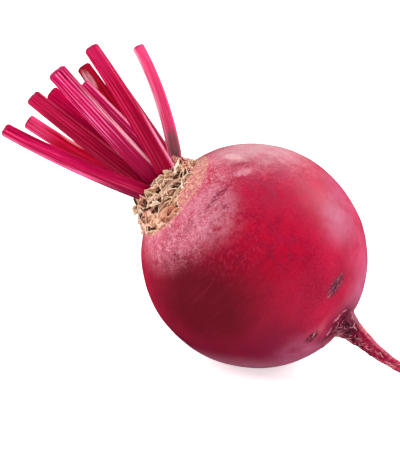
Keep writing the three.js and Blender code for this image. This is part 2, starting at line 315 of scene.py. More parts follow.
def per_metre(size):
    """A texture's scale for features of a size in millimetres."""
    return 1 / (size * MM)


def near_point(tree, place, centre, inner, outer):
    """A mask that is 1 within inner millimetres of a point and fades to 0 at outer."""
    gap = add(tree, "VectorMath", {0: place, 1: Vector(centre) * MM}, "Value",
              operation="DISTANCE")
    return add(tree, "MapRange", {"Value": gap, "From Min": outer * MM, "From Max": inner * MM},
               **EASED)


def along_streak(tree, place, start, end, wide):
    """A mask that is 1 along the middle of a streak between two points and fades at its edge."""
    start, end = Vector(start) * MM, Vector(end) * MM
    local = add(tree, "Mapping", vector_type="TEXTURE",
                inputs={"Vector": place, "Location": start.lerp(end, 0.5),
                        "Rotation": (end - start).to_track_quat("X", "Z").to_euler(),
                        "Scale": ((end - start).length / 2, wide / 2 * MM, wide / 2 * MM)})
    reach = add(tree, "VectorMath", {0: local}, "Value", operation="LENGTH")
    return add(tree, "MapRange", {"Value": reach, "From Min": 1, "From Max": 0.5}, **EASED)


def blotches(tree, place, size, low, high, detail=4.0, roughness=0.6):
    """A mask of blotches of a size in millimetres, 0 under the low level and 1 over the high."""
    level = add(tree, "TexNoise", {"Vector": place, "Scale": per_metre(size), "Detail": detail,
                                   "Roughness": roughness})
    return add(tree, "MapRange", {"Value": level, "From Min": low, "From Max": high}, **EASED)


def overlap(tree, *masks):
    """The product of masks, each a number or a socket, held between 0 and 1."""
    share = masks[0]
    for mask in masks[1:]:
        share = add(tree, "Math", {0: share, 1: mask}, operation="MULTIPLY", use_clamp=True)
    return share


def tinted(tree, colour, tone, *masks, blend="MIX"):
    """A colour with a tone laid over it where the masks overlap."""
    return add(tree, "Mix", {0: overlap(tree, *masks), 6: colour, 7: tone}, 2,
               data_type="RGBA", blend_type=blend)


LILAC = "#b05c7c"
SHADE_PURPLE = "#640c2c"
# Painted shade, four of painted reflection, three of painted highlight and one greyish lilac.
SKIN_PATCHES = [
    # centre, inner and outer reach, share, colour
    ((8, -34, 18), 4, 19, 0.6, SHADE_PURPLE),
    ((36, -12, 29), 7, 19, 0.85, LILAC),
    ((22, -18, 10), 6, 17, 0.8, LILAC),
    ((17, -27, 12), 5, 17, 0.5, LILAC),
    ((40, -10, 46), 4, 24, 0.45, LILAC),
    ((30, -18, 63), 2, 15, 0.6, LILAC),
    ((31, -4, 68), 3, 16, 0.6, LILAC),
    ((24, -21, 57), 2, 12, 0.4, LILAC),
    ((30, -21, 22), 6, 15, 0.7, "#844458"),
]
SOFT_STREAKS = [
    # start, end, width, colour
    ((-13.4, -4.4, 80.4), (-5.0, -11.2, 80.6), 5.0, "#d2a0a2"),
    ((-12.4, -2.6, 80.9), (-9.9, -4.4, 81.2), 1.6, "#a03450"),
    ((-11.4, -13.6, 78.6), (-2.2, -13.3, 80.1), 3.4, "#98183c"),
    ((-10.6, -18.8, 76.8), (-1.6, -17.0, 78.6), 4.8, "#cc8494"),
    ((-9.2, -20.7, 76.1), (-4.0, -20.5, 76.8), 1.6, "#a42848"),
    ((-10.0, -21.6, 75.2), (-20.6, -28.0, 65.2), 3.0, "#7c1438"),
    ((-14.8, -26.3, 69.6), (-10.8, -30.4, 67.2), 2.4, "#8c1c40"),
    ((31.0, -26.3, 44.4), (22.6, -33.8, 35.2), 6.6, "#702438"),
    ((16.2, -29.8, 16.8), (21.4, -30.4, 23.4), 5.4, "#380418"),
]
STREAK_WANDER = 1.0             # how far a streak's edge strays


def beet_skin():
    """The root's periderm: thin, smooth and faintly waxy, so it has a broad soft gleam. It is
    crimson, pinkish and dusted towards the crown, corky tan where it meets it, and wrinkled dark
    magenta on the tail. Painted shade darkens its lower left, its bottom and the tail's creases
    and lower side; painted reflection of the floor turns it lilac low down and on its right, and
    painted highlight pales it near the crown, on top and high on its right."""
    material, tree = new_material("beetroot_skin")
    place = add(tree, "TexCoord", {}, "Object")
    height = add(tree, "SeparateXYZ", {0: place}, "Z")
    pattern = add(tree, "Attribute", {}, "Vector", attribute_name="pattern")

    def mottle(size, low, high, **settings):
        return blotches(tree, place, size, low, high, **settings)

    def near(centre, inner, outer):
        return near_point(tree, place, centre, inner, outer)

    def coated(tone, *masks):
        return tinted(tree, colour, tone, *masks)

    # Crimson in soft clouds, brightest at the front, with painted shade over the lower left.
    colour = tinted(tree, "#a00430", "#b80838", mottle(24, 0.36, 0.64, detail=2))
    for size, tone in ((5, "#88042c"), (0.8, "#c42c50")):
        colour = coated(tone, mottle(size, 0.42, 0.66, roughness=0.7), 0.3)
    clouds = mottle(4, 0.36, 0.62, roughness=0.7)
    colour = coated("#c4002c", near((-1, -37, 56), 6, 26), clouds, 0.85)
    # Painted shade: dark maroon over the lower left.
    colour = coated("#500310", near((-21, -36, 34), 8, 41), 0.88)
    flat_rings = add(tree, "Mapping", {"Vector": pattern, "Scale": (0.25, 0.25, 1)})
    colour = coated("#d04068", blotches(tree, flat_rings, 1.2, 0.5, 0.72), 0.05)
    # Painted shade, purple, darker towards the bottom, then painted reflection of the floor, pale
    # lilac, along the very bottom.
    for high, low, tone, share in ((26, 6, SHADE_PURPLE, 0.8), (14, 2, "#c07890", 0.7)):
        under = add(tree, "MapRange", {"Value": height, "From Min": high * MM,
                                       "From Max": low * MM}, **EASED)
        colour = coated(tone, under, share)

    # Painted shade low at the front. Lilac low down and on its right is painted reflection of the
    # floor, higher on its right painted highlight, and round the foot of the tail it is greyish
    # lilac.
    dust_and_sheen = mottle(6, 0.15, 0.65, roughness=0.75)
    for centre, inner, outer, share, tone in SKIN_PATCHES:
        cover = dust_and_sheen if tone == LILAC else 1
        colour = coated(tone, near(centre, inner, outer), cover, share)

    # Dry bloom: a pinkish veil that breaks up at its edge, with pale specks under a millimetre.
    # By the crown and on top it is partly painted highlight.
    by_crown = near((-30, -14, 66), 16, 30)
    on_top = overlap(tree, near((-2, 3, 82), 12, 33), 0.7)
    reach = add(tree, "Math", {0: by_crown, 1: on_top}, operation="MAXIMUM")
    colour = coated("#c4647c", reach, mottle(7, 0.3, 0.6, roughness=0.75), 0.85)
    colour = coated("#dc94a0", reach, mottle(1.6, 0.48, 0.66, roughness=0.7), 0.55)
    # Painted highlight, partly dust: a paler gleam on the front below the crown.
    colour = coated("#d494a8", near((-17, -29, 65), 3, 15), clouds, 0.5)
    bloom = overlap(tree, reach, mottle(0.6, 0.5, 0.75, detail=2))
    colour = coated("#f4c4cc", bloom, 0.5)
    # Painted sheen on the top, partly dust.
    colour = coated("#b89298", near((0, 0, 84), 6, 22), dust_and_sheen, 0.8)
    colour = coated("#982c48", near((4, -20, 77), 5, 22), clouds, 0.6)
    squat = add(tree, "Mapping", {"Vector": place, "Scale": (1, 1, 0.6)})
    for size, tone, share in ((1.0, "#d43458", 0.35), (0.9, "#84042a", 0.5)):
        specks = blotches(tree, squat, size, 0.46, 0.66, roughness=0.75)
        colour = coated(tone, near((-11, -34, 60), 6, 22), specks, share)

    # Scrapes and halos, whose edges wander.
    stir = add(tree, "TexNoise", {"Vector": place, "Scale": per_metre(1.6), "Detail": 3,
                                  "Roughness": 0.7}, "Color", normalize=False)
    wandering = add(tree, "VectorMath", {0: stir, 1: (STREAK_WANDER * MM,) * 3, 2: place}, **SUM)
    broken = mottle(0.8, 0.28, 0.5, roughness=0.7)
    for start, end, wide, tone in SOFT_STREAKS:
        colour = coated(tone, along_streak(tree, wandering, start, end, wide), broken, 0.85)

    # The skin turns corky in torn rings round the foot of the crown.
    torn_rings = add(tree, "Mapping", {"Vector": pattern, "Scale": (0.8, 0.8, 1)})
    torn = blotches(tree, torn_rings, 0.7, 0.4, 0.6, roughness=0.75)
    at_rim = add(tree, "Math", {0: torn, 1: 0.7, 2: -0.75}, **SUM)
    corky = add(tree, "Attribute", {}, "Fac", attribute_name="corky")
    edge = add(tree, "Math", {0: corky, 1: 1.6, 2: at_rim}, use_clamp=True, **SUM)
    grain = add(tree, "ValToRGB", {"Fac": torn},
                stops=[(0.0, "#b05464"), (0.4, "#c47c74"), (1.0, "#dcb090")])
    colour = coated(grain, edge, 0.85)

    # The tail is darker in its wrinkles and on its lower side, both painted shade, and paler
    # towards its dry end; the skin beside it is scuffed.
    wrinkle = add(tree, "Attribute", {}, "Fac", attribute_name="wrinkle")
    tail_colour_with_crease_shade = add(tree, "ValToRGB", {"Fac": wrinkle}, stops=[
        (0.1, "#4c081c"), (0.4, "#941238"), (0.65, "#a82048"), (1.0, "#c8606c")])
    colour = coated(tail_colour_with_crease_shade, add(tree, "Attribute", {}, "Fac", attribute_name="tail"))
    scuffed = near((31.4, -22.6, 20.4), 4, 10)
    colour = coated("#641834", scuffed, 0.6)
    colour = coated("#2c0412", scuffed, mottle(1.1, 0.42, 0.56, roughness=0.7), 0.9)

    ripples = add(tree, "TexNoise", {"Vector": place, "Scale": per_metre(1.6), "Detail": 5,
                                     "Roughness": 0.6})
    surface = add(tree, "BsdfPrincipled", {
        "Base Color": colour,
        "Roughness": add(tree, "Math", {0: bloom, 1: 0.2, 2: 0.4}, **SUM),
        "Normal": add(tree, "Bump", {"Strength": 0.25, "Distance": 0.15 * MM, "Height": ripples}),
        "Specular IOR Level": 0.09})
    add(tree, "OutputMaterial", {"Surface": surface})
    return material


def scab():
    """Old healed nicks in the skin: dry, rough and streaked, from dark brown to pale pinkish."""
    material, tree = new_material("healed_skin_scab")
    pattern = add(tree, "Attribute", {}, "Vector", attribute_name="pattern")
    tone = add(tree, "Attribute", {}, "Fac", attribute_name="tone")
    drawn_out = add(tree, "Mapping", {"Vector": pattern, "Scale": (0.3, 1, 1)})
    streaks = blotches(tree, drawn_out, 0.45, 0.4, 0.6)
    shade = add(tree, "Math", {0: streaks, 1: 0.35, 2: tone}, use_clamp=True, **SUM)
    colour = add(tree, "ValToRGB", {"Fac": shade}, stops=[
        (0.0, "#34101c"), (0.3, "#782440"), (0.6, "#b8586c"), (1.0, "#eaaab2")])
    surface = add(tree, "BsdfPrincipled", {
        "Base Color": colour, "Roughness": 0.8, "Specular IOR Level": 0.25})
    add(tree, "OutputMaterial", {"Surface": surface})
    return material


def dried_leaf_base():
    """Papery dead leaf bases over cork: matt and fibrous, cream at their torn lips, tan to olive
    on their faces, painted nearly black as shade where they lie over each other and in the
    neck's groove, and browner at the lower front as painted shade."""
    material, tree = new_material("dried_leaf_base_cork")
    pattern = add(tree, "Attribute", {}, "Vector", attribute_name="pattern")
    lip = add(tree, "Attribute", {}, "Fac", attribute_name="lip")
    tint = add(tree, "Attribute", {}, "Fac", attribute_name="tint")
    drawn_out = add(tree, "Mapping", {"Vector": pattern, "Scale": (0.2, 1, 1)})
    fibres = add(tree, "TexNoise", {"Vector": drawn_out, "Scale": per_metre(0.6), "Detail": 5,
                                    "Roughness": 0.7})
    raised = add(tree, "Math", {0: fibres, 1: 2.2, 2: lip}, **SUM)
    level = add(tree, "Math", {0: raised, 1: 1, 2: -1.1}, **SUM)
    # Nearly black at the flakes' feet and in the neck's groove: painted shade.
    body = add(tree, "ValToRGB", {"Fac": level}, stops=[
        (0.0, "#24100c"), (0.15, "#6c4a38"), (0.35, "#b8907a"), (0.6, "#ecd6ba"),
        (1.0, "#fcf6ec")])
    hue = add(tree, "ValToRGB", {"Fac": tint}, stops=[
        (0.0, "#fff2ee"), (0.22, "#e2c6a2"), (0.38, "#fff0e6"), (0.55, "#fcd2c6"),
        (0.68, "#e6a684"), (0.8, "#ffece8"), (0.92, "#e08494"), (1.0, "#c85870")])
    colour = tinted(tree, body, hue, 0.85, blend="MULTIPLY")
    # Painted shade: browner at the lower front.
    low_front_shade = near_point(tree, add(tree, "TexCoord", {}, "Object"), (-35, -20, 65), 2, 9)
    colour = tinted(tree, colour, "#d4a294", low_front_shade, blend="MULTIPLY")
    surface = add(tree, "BsdfPrincipled", {
        "Base Color": colour, "Roughness": 0.85, "Specular IOR Level": 0.3,
        "Normal": add(tree, "Bump", {"Strength": 0.7, "Distance": 0.2 * MM, "Height": fibres})})
    add(tree, "OutputMaterial", {"Surface": surface})
    return material


def stalk_skin(name, flesh, rib, groove, marks):
    """A fresh leaf stalk's skin: smooth, moist and satin, with paler ribs and darker grooves
    that run its whole length, painted darker towards its foot as shade, and dry at its cut end.
    marks are blemishes, painted highlight lines and painted shade, each a centre, an inner and
    an outer reach, how far it is squashed along the stalk and a colour."""
    material, tree = new_material(name)
    pattern = add(tree, "Attribute", {}, "Vector", attribute_name="pattern")
    ridge = add(tree, "Attribute", {}, "Fac", attribute_name="ridge")
    height = add(tree, "SeparateXYZ", {0: pattern}, "Z")
    drawn_out = add(tree, "Mapping", {"Vector": pattern, "Scale": (1, 1, 0.03)})
    lines = add(tree, "TexNoise", {"Vector": drawn_out, "Scale": per_metre(0.55), "Detail": 3,
                                   "Roughness": 0.6})
    broad = add(tree, "TexNoise", {"Vector": drawn_out, "Scale": per_metre(2.4), "Detail": 1})
    lined = add(tree, "Math", {0: lines, 1: 2.4, 2: ridge}, **SUM)
    uneven = add(tree, "Math", {0: broad, 1: 0.8, 2: lined}, **SUM)
    level = add(tree, "Math", {0: uneven, 1: 1, 2: -1.5}, **SUM)
    colour = add(tree, "ValToRGB", {"Fac": level},
                 stops=[(0.0, groove), (0.3, flesh), (0.5, flesh), (0.9, rib)])
    # Painted shade: darker towards the foot, where the stalks crowd.
    foot_shade = add(tree, "MapRange", {"Value": height, "From Min": 40 * MM, "From Max": 4 * MM,
                                     "To Max": 0.75})
    colour = tinted(tree, colour, groove, foot_shade)
    streaked = blotches(tree, drawn_out, 0.6, 0.36, 0.52)
    # Blemishes, painted highlight lines and painted shade.
    for (x, y, z), inner, outer, squash, tone in marks:
        squashed = add(tree, "Mapping", {"Vector": pattern, "Scale": (1, 1, squash)})
        patch = near_point(tree, squashed, (x, y, z * squash), inner, outer)
        colour = tinted(tree, colour, tone, patch, streaked)
    cut = add(tree, "Attribute", {}, "Fac", attribute_name="cut")
    surface = add(tree, "BsdfPrincipled", {
        "Base Color": tinted(tree, colour, "#7a2038", cut), "Roughness": 0.42,
        "Normal": add(tree, "Bump", {"Strength": 0.3, "Distance": 0.1 * MM, "Height": lines}),
        "Specular IOR Level": 0.07})
    add(tree, "OutputMaterial", {"Surface": surface})
    return material


def pale_card():
    """A matt white sheet for the floor, lit a little from below, and more so where it is looked at
    than where it lights the root, so its shadows are faint."""
    material, tree = new_material("pale_card")
    looked_at = add(tree, "LightPath", {}, "Is Camera Ray")
    surface = add(tree, "BsdfPrincipled", {
        "Base Color": "#f7f7f6", "Roughness": 0.9, "Emission Color": "#ffffff",
        "Emission Strength": add(tree, "Math", {0: looked_at, 1: 0.3, 2: 0.3}, **SUM)})
    add(tree, "OutputMaterial", {"Surface": surface})
    return material


# ---- camera, light and floor

CAMERA_AIM = Vector((-21.4, 3.4, 50.4))
CAMERA_DISTANCE = 700
CAMERA_ELEVATION = 17           # degrees
CAMERA_LENS = 148.2             # on a sensor 36 mm along its longer side
CAMERA_SIGHT = 20               # metres
FLOOR_ACROSS = 8                # metres
SKY_STRENGTH = 0.35
SOFTBOXES = [
    # name, direction, distance, width, height, power, whether it shows in the skin's gleam
    ("key_right", (0.8, 0.25, 0.53), 700, 340, 480, 5.8, True),
    ("front_fill", (0.3, -0.55, 0.78), 1200, 1200, 1200, 2.4, False),
    ("back_light", (0.1, 0.8, 0.6), 1300, 1800, 1000, 8, True),
    ("left_glint", (-0.75, -0.3, 0.59), 700, 280, 360, 3.4, True),
]


def set_stage():
    scene = bpy.context.scene
    elevation = math.radians(CAMERA_ELEVATION)
    back = Vector((0, -math.cos(elevation), math.sin(elevation)))
    camera = bpy.data.cameras.new("camera")
    camera.lens = CAMERA_LENS
    camera.clip_end = CAMERA_SIGHT
    holder = put_in_scene("camera", camera)
    holder.location = (CAMERA_AIM + back * CAMERA_DISTANCE) * MM
    holder.rotation_euler = (math.radians(90) - elevation, 0, 0)
    scene.camera = holder

    bpy.ops.mesh.primitive_plane_add(size=FLOOR_ACROSS)
    floor = new_piece("floor")
    floor.data.materials.append(pale_card())
    floor.visible_glossy = False

    world = bpy.data.worlds.new("studio")
    world.use_nodes = True
    sky = world.node_tree.nodes["Background"].inputs
    sky["Color"].default_value = (1, 1, 1, 1)
    sky["Strength"].default_value = SKY_STRENGTH
    world.cycles_visibility.glossy = False
    scene.world = world
    scene.view_settings.view_transform = "Standard"


def add_softbox(name, direction, distance, wide, tall, power, glints):
    """An area light that faces the beetroot from a direction, with sizes in millimetres."""
    light = bpy.data.lights.new(name, "AREA")
    light.shape = "RECTANGLE"
    light.size = wide * MM
    light.size_y = tall * MM
    light.energy = power
    holder = put_in_scene(name, light)
    aim = Vector(direction).normalized()
    holder.location = (BODY_CENTRE + aim * distance) * MM
    holder.rotation_euler = aim.to_track_quat("Z", "Y").to_euler()
    holder.visible_glossy = glints


# ---- the root

ROOT_SEGMENTS = 96
ROOT_RINGS = 80
RING_CROWDING = 0.6             # how far the ball's rings are drawn towards its poles
TAIL_STEPS = 9                  # rings for each span of the profile
TAIL_UNDERSIDE = 190            # degrees round the straight tail where its painted shade is darkest
TAIL_DRY_START = 55             # where its skin turns paler, and where it is palest
TAIL_DRY_END = 64
CREASED_SKIN = Vector((27, -24, 22))
CREASE_REACH = 13
CREASE_HEIGHT = 0.3
RING_HEIGHT = 0.09              # of the tail's radius
PATTERN_RADIUS = 14
CORKY_REACH = 2.8               # how far the skin is corky beyond the crown's edge
CORKY_DEPTH = 20                # how far under the crown's foot there can be none

tail_spine = smooth_line(
    [BODY_CENTRE + TAIL_AIM * TAIL_SPINE_START, BODY_CENTRE + TAIL_AIM * HALF_LONG, *TAIL_PATH], 12)
tail_spine.append(tail_spine[-1] + (tail_spine[-1] - tail_spine[-2]).normalized() * 8)


def tail_share(place):
    """From 0 on the straight root's body to 1 on its tail."""
    return smoothstep(-place.z, TAIL_BEND_START, TAIL_BEND_END)


def wrinkle_height(place):
    """The skin's wrinkles on the straight root, from about -1 to 1: rings along the tail and
    round its foot, crossed by furrows."""
    around = around_axis(place)
    turn = polar(1, around, 0)
    down = -place.z if place.xy.length < TAIL_FOOT_RADIUS else -place.z + place.xy.length * 0.8
    rings = noise.noise(turn * 1.3 + Vector((0, 0, down * 0.8)))
    fine = noise.noise(turn * 2.8 + Vector((7, 0, down * 1.7)))
    furrows = noise.noise(turn * 3.4 + Vector((0, 9, down * 0.09)))
    return rings + 0.5 * fine + 0.5 * furrows


def lay_root_point(place):
    """Where a point of the straight root lies. The tail's pole is turned forward over the body's
    lower half, and the tail follows its own middle line."""
    from_tail = place.angle(DOWN)
    # Slow lumps, and shallow dents about 14 and 4 mm across.
    lumps = (math.sin(place.x * 0.061 + 1.1) * math.cos(place.y * 0.052 - 0.4)
             + 0.6 * math.sin(place.z * 0.083 + place.y * 0.04))
    dents = 0.25 * noise.noise(place / 14) + 0.06 * noise.noise(place / 4)
    swell = 1 + (LUMP_HEIGHT * lumps * math.sin(from_tail) ** 2 + dents) / HALF_ACROSS
    turned = smoothstep(from_tail, math.radians(TAIL_TURN_NONE), math.radians(TAIL_TURN_ALL))
    on_body = LYING_DOWN.slerp(TAIL_TURN, turned) @ (place * swell) + BODY_CENTRE
    share = tail_share(place)
    creased = 1 - smoothstep((on_body - CREASED_SKIN).length, CREASE_REACH / 3, CREASE_REACH)
    if creased > 0:
        outward = (on_body - BODY_CENTRE).normalized()
        on_body += outward * (CREASE_HEIGHT * creased * (1 - share) * wrinkle_height(place))
    if share > 0:
        centre, heading = point_along(tail_spine, -place.z - TAIL_SPINE_START)
        wrinkled = 1 + RING_HEIGHT * wrinkle_height(place)
        level = TAIL_TURN @ Vector((place.x, place.y, 0)) * wrinkled
        on_tail = TAIL_AIM.rotation_difference(heading) @ level + centre
        on_body = on_body.lerp(on_tail, share)
    on_body.z = max(on_body.z, 0)
    return on_body


def crowd_towards_poles(place):
    """Slides a point of a ball along its meridian, so that the rings lie closer at the poles."""
    slide = RING_CROWDING * math.sin(2 * place.angle(DOWN)) / 2
    axis = place.cross(DOWN)
    return Quaternion(axis, slide) @ place if axis.length > 0.001 else place


def grow_straight_root():
    """The root as if it hung straight down: a ball, with the tail drawn out of its lower pole."""
    bpy.ops.mesh.primitive_uv_sphere_add(
        segments=ROOT_SEGMENTS, ring_count=ROOT_RINGS, radius=HALF_ACROSS * MM)
    root = new_piece("root_skin")
    move_points(root, crowd_towards_poles)
    bpy.ops.object.mode_set(mode="EDIT")
    bpy.ops.mesh.select_all(action="SELECT")
    bpy.ops.transform.resize(value=(1, 1, BODY_LONG / BODY_ACROSS))
    select_where(root, "FACE",
                 lambda middle: middle.z < 0 and middle.xy.length < TAIL_FOOT_RADIUS)
    bpy.ops.mesh.delete(type="FACE")
    bpy.ops.mesh.select_mode(type="VERT")
    bpy.ops.mesh.select_non_manifold()
    rim = bmesh.from_edit_mesh(root.data)
    corner = next(v.co for v in rim.verts if v.select)
    radius, distance = corner.xy.length / MM, -corner.z / MM
    rings = smooth_line([(d, r, 0) for d, r in TAIL_PROFILE], TAIL_STEPS)
    for next_distance, next_radius, _ in rings:
        step = (distance - next_distance) * MM
        bpy.ops.mesh.extrude_region_move(TRANSFORM_OT_translate={"value": (0, 0, step)})
        share = next_radius / radius
        bpy.ops.transform.resize(value=(share, share, 1),
                                 center_override=(0, 0, -next_distance * MM))
        radius, distance = next_radius, next_distance
    tip = (distance - TAIL_TIP) * MM
    bpy.ops.mesh.extrude_region_move(TRANSFORM_OT_translate={"value": (0, 0, tip)})
    bpy.ops.mesh.merge(type="CENTER")
    bpy.ops.object.mode_set(mode="OBJECT")
    return root


def make_root():
    root = grow_straight_root()
    add_modifier(root, "SUBSURF", levels=1, render_levels=1)

    def ring_place(place):
        turn = Vector((place.x, place.y, 0)).normalized() * PATTERN_RADIUS
        return turn + Vector((0, 0, place.angle(DOWN) * HALF_ACROSS))

    def corky_share(place):
        on_crown = CROWN_PLACE.inverted() @ lay_root_point(place)
        if on_crown.z < -CORKY_DEPTH:
            return 0
        around = around_axis(on_crown)
        beyond = on_crown.xy.length - neck_radius(APRON_EDGE, around)
        return 1 - smoothstep(beyond, -0.6, CORKY_REACH)

    def tail_look(place):
        near = (lay_root_point(place) - CREASED_SKIN).length
        return max(tail_share(place), 0.85 * (1 - smoothstep(near, 3, CREASE_REACH)))

    def skin_level(place):
        if place.z > -TAIL_SPINE_START:
            return 0.5
        around = around_axis(place)
        # Painted shade: darker on the tail's lower side.
        painted_underside_shade = tail_share(place) * math.cos(around - math.radians(TAIL_UNDERSIDE))
        drier = smoothstep(-place.z, TAIL_DRY_START, TAIL_DRY_END)
        return 0.5 + 0.5 * wrinkle_height(place) - 0.25 * painted_underside_shade * (1 - drier) + 0.2 * drier

    map_pattern(root, ring_place)
    paint(root, "wrinkle", skin_level)
    paint(root, "tail", tail_look)
    paint(root, "corky", corky_share)
    move_points(root, lay_root_point)
    return root


SCABS = [
    # start, end, how far its slivers spread, how many, their width, tone from dark 0 to pale 1
    ((30.6, -26.7, 43.6), (23.2, -33.3, 36.0), 3.8, 26, 0.36, 0.12),
    ((24.6, -32.2, 37.0), (23.4, -33.0, 35.6), 1.2, 3, 0.3, 0.5),
    ((16.8, -29.8, 17.6), (20.8, -30.5, 22.8), 2.8, 9, 0.35, 0.0),
    ((17.6, -30.0, 19.2), (20.2, -30.5, 22.3), 0.8, 2, 0.35, 0.75),
    ((26.1, -26.8, 24.1), (29.5, -24.9, 27.3), 0, 1, 0.4, 0.65),
    ((29.5, -24.9, 27.3), (32.0, -22.6, 27.6), 0, 1, 0.35, 0.65),
    ((27.0, -25.9, 24.1), (28.8, -25.0, 26.0), 0, 1, 0.4, 0.55),
    ((24.0, -24.5, 18.1), (26.2, -25.5, 22.3), 0, 1, 0.4, 0.55),
    ((35.0, -14.5, 26.0), (34.2, -13.0, 22.0), 0.6, 2, 0.9, 0.0),
    ((-8.0, 31.0, 66.0), (2.0, 33.0, 65.0), 1.6, 5, 0.6, 0.25),
    ((28.0, 26.0, 52.0), (31.0, 26.0, 42.0), 2.0, 6, 0.6, 0.25),
    ((-32.0, 24.0, 36.0), (-28.0, 30.0, 34.0), 1.2, 3, 0.6, 0.5),
]
SCAB_HEIGHT = 0.14
SCAB_SUNK = 0.03                # how far its rim is under the skin
SCAB_SEED = 5


def lay_sliver(sliver, root, start, end, widest, tone):
    """Lays a flat piece on the root's skin as a thin raised sliver with its rim just under it."""
    middle = start.lerp(end, 0.5)
    outward = (middle - BODY_CENTRE).normalized()
    aside = outward.cross(end - start).normalized()

    def lay_on_skin(place):
        along, across = 2 * place.x, 2 * place.y
        ragged = 1 + 0.5 * noise.noise(Vector((along * 3, 0, math.copysign(2, across))) + start)
        half_wide = widest / 2 * math.sqrt(max(1 - along ** 2, 0)) * ragged
        wander = 0.25 * noise.noise(Vector((along * 1.6, 9, 0)) + start)
        target = middle + (end - start) * place.x + aside * (across * half_wide + wander)
        _, on_skin, normal, _ = root.closest_point_on_mesh(target * MM)
        rise = SCAB_HEIGHT * (1 - across ** 2) * (1 - along ** 2) - SCAB_SUNK
        return on_skin / MM + normal * rise

    map_pattern(sliver, lambda place: Vector((place.x * (end - start).length, place.y * widest, 0))
                + start)
    paint(sliver, "tone", lambda place: tone + 0.15 * noise.noise(place * 6 + start))
    move_points(sliver, lay_on_skin)


def make_scabs(root):
    """Clusters of thin slivers of healed skin, ragged where they end."""
    bpy.ops.mesh.primitive_grid_add(x_subdivisions=20, y_subdivisions=4, size=MM)
    pattern = new_piece("root_scabs")
    draw = random.Random(SCAB_SEED)
    slivers = []
    for start, end, spread, count, width, tone in SCABS:
        start, end = Vector(start), Vector(end)
        aside = (start - BODY_CENTRE).cross(end - start).normalized()
        for i in range(count):
            across = (i + 0.5) / count - 0.5
            share = draw.uniform(0.35, 0.8) if count > 1 else 1
            slide = draw.uniform(share - 1, 1 - share) / 2
            middle = start.lerp(end, 0.5 + slide) + aside * across * spread
            # They are shorter towards the cluster's edges.
            half = (end - start) * share * math.sqrt(1 - (1.6 * across) ** 2) / 2
            sliver = put_in_scene(pattern.name, pattern.data.copy())
            lay_sliver(sliver, root, middle - half, middle + half, width * draw.uniform(0.7, 1.3),
                       tone + draw.uniform(-0.15, 0.15))
            slivers.append(sliver)
    bpy.data.objects.remove(pattern)
    return join_as("root_scabs", slivers)


THREADS = 150
THREAD_SEED = 4
THREADS_FACE = 215              # degrees round the tail that most of them are on
THREADS_START = 40.5            # how far under the root's middle, and over how long a run
THREADS_RUN = 52
THREAD_STEPS = 8
THREAD_RADII = (0.06, 0.13)
THREAD_LENGTHS = (0.6, 2.6)
THREAD_TWIST = 0.5


def straight_surface(down, around, lift):
    """A point a little off the straight root's skin, at a depth under its middle."""
    for (low, low_radius), (high, high_radius) in zip(TAIL_PROFILE, TAIL_PROFILE[1:]):
        radius = lerp(low_radius, high_radius, (down - low) / (high - low))
        if down <= high:
            break
    if down < TAIL_PROFILE[0][0]:
        radius = HALF_ACROSS * math.sqrt(max(1 - (down / HALF_LONG) ** 2, 0))
    return polar(radius + lift, around, -down)


def make_threads():
    """Dried hair roots that cling to the tail: thin curled threads, pale pink."""
    draw = random.Random(THREAD_SEED)
    threads = []
    for _ in range(THREADS):
        thin = draw.uniform(*THREAD_RADII)
        down = THREADS_START + THREADS_RUN * draw.random() ** 2
        around = draw.gauss(math.radians(THREADS_FACE), 1.2)
        run = draw.uniform(*THREAD_LENGTHS)
        twist = draw.uniform(-THREAD_TWIST, THREAD_TWIST)
        wobble = draw.uniform(0, 9)
        route = []
        for step in range(THREAD_STEPS + 1):
            share = step / THREAD_STEPS
            curl = 0.3 * math.sin(share * 7 + wobble)
            lift = thin * (0.9 - 2.2 * abs(share - 0.5) ** 3)
            route.append(lay_root_point(straight_surface(
                down + run * share + curl * 0.5, around + twist * share + curl * 0.3, lift)))
        length = sum((b - a).length for a, b in zip(route, route[1:]))
        thread = upright_bar("root_threads", 6, length, 14)

        def follow(place):
            centre, heading = point_along(route, min(place.z, length - 0.001))
            side = Vector((place.x, place.y, 0)) * thin
            return centre + heading.to_track_quat("Z", "Y") @ side

        tone = draw.uniform(0.3, 0.75)
        paint(thread, "tone", lambda place: tone)
        map_pattern(thread, lambda place: place)
        move_points(thread, follow)
        threads.append(thread)
    return join_as("root_threads", threads)


# ---- the crown

SCALE_ROWS = [
    # count, from and to in degrees round the neck, foot, height, width, sunk, lift, rise, taper
    (9, 240, 350, -2.7, 2.0, 9.0, 0.2, 0.2, 0.0, 0.8),
    (13, 0, 360, -1.4, 2.2, 11.0, 0.3, 0.3, 0.1, 0.8),
    (13, 14, 374, 0.0, 2.4, 11.0, 0.4, 0.5, 0.1, 0.8),
    (11, 0, 360, 1.4, 2.6, 10.0, 0.5, 0.8, 0.2, 0.7),
    (11, 15, 375, 2.8, 2.6, 9.5, 0.6, 1.0, 0.2, 0.6),
    (10, 0, 360, 4.2, 3.0, 8.5, 0.6, 1.3, 0.2, 0.5),
    (11, 20, 380, 6.4, 2.6, 8.5, 0.2, 0.1, 0.4, 0.6),
]
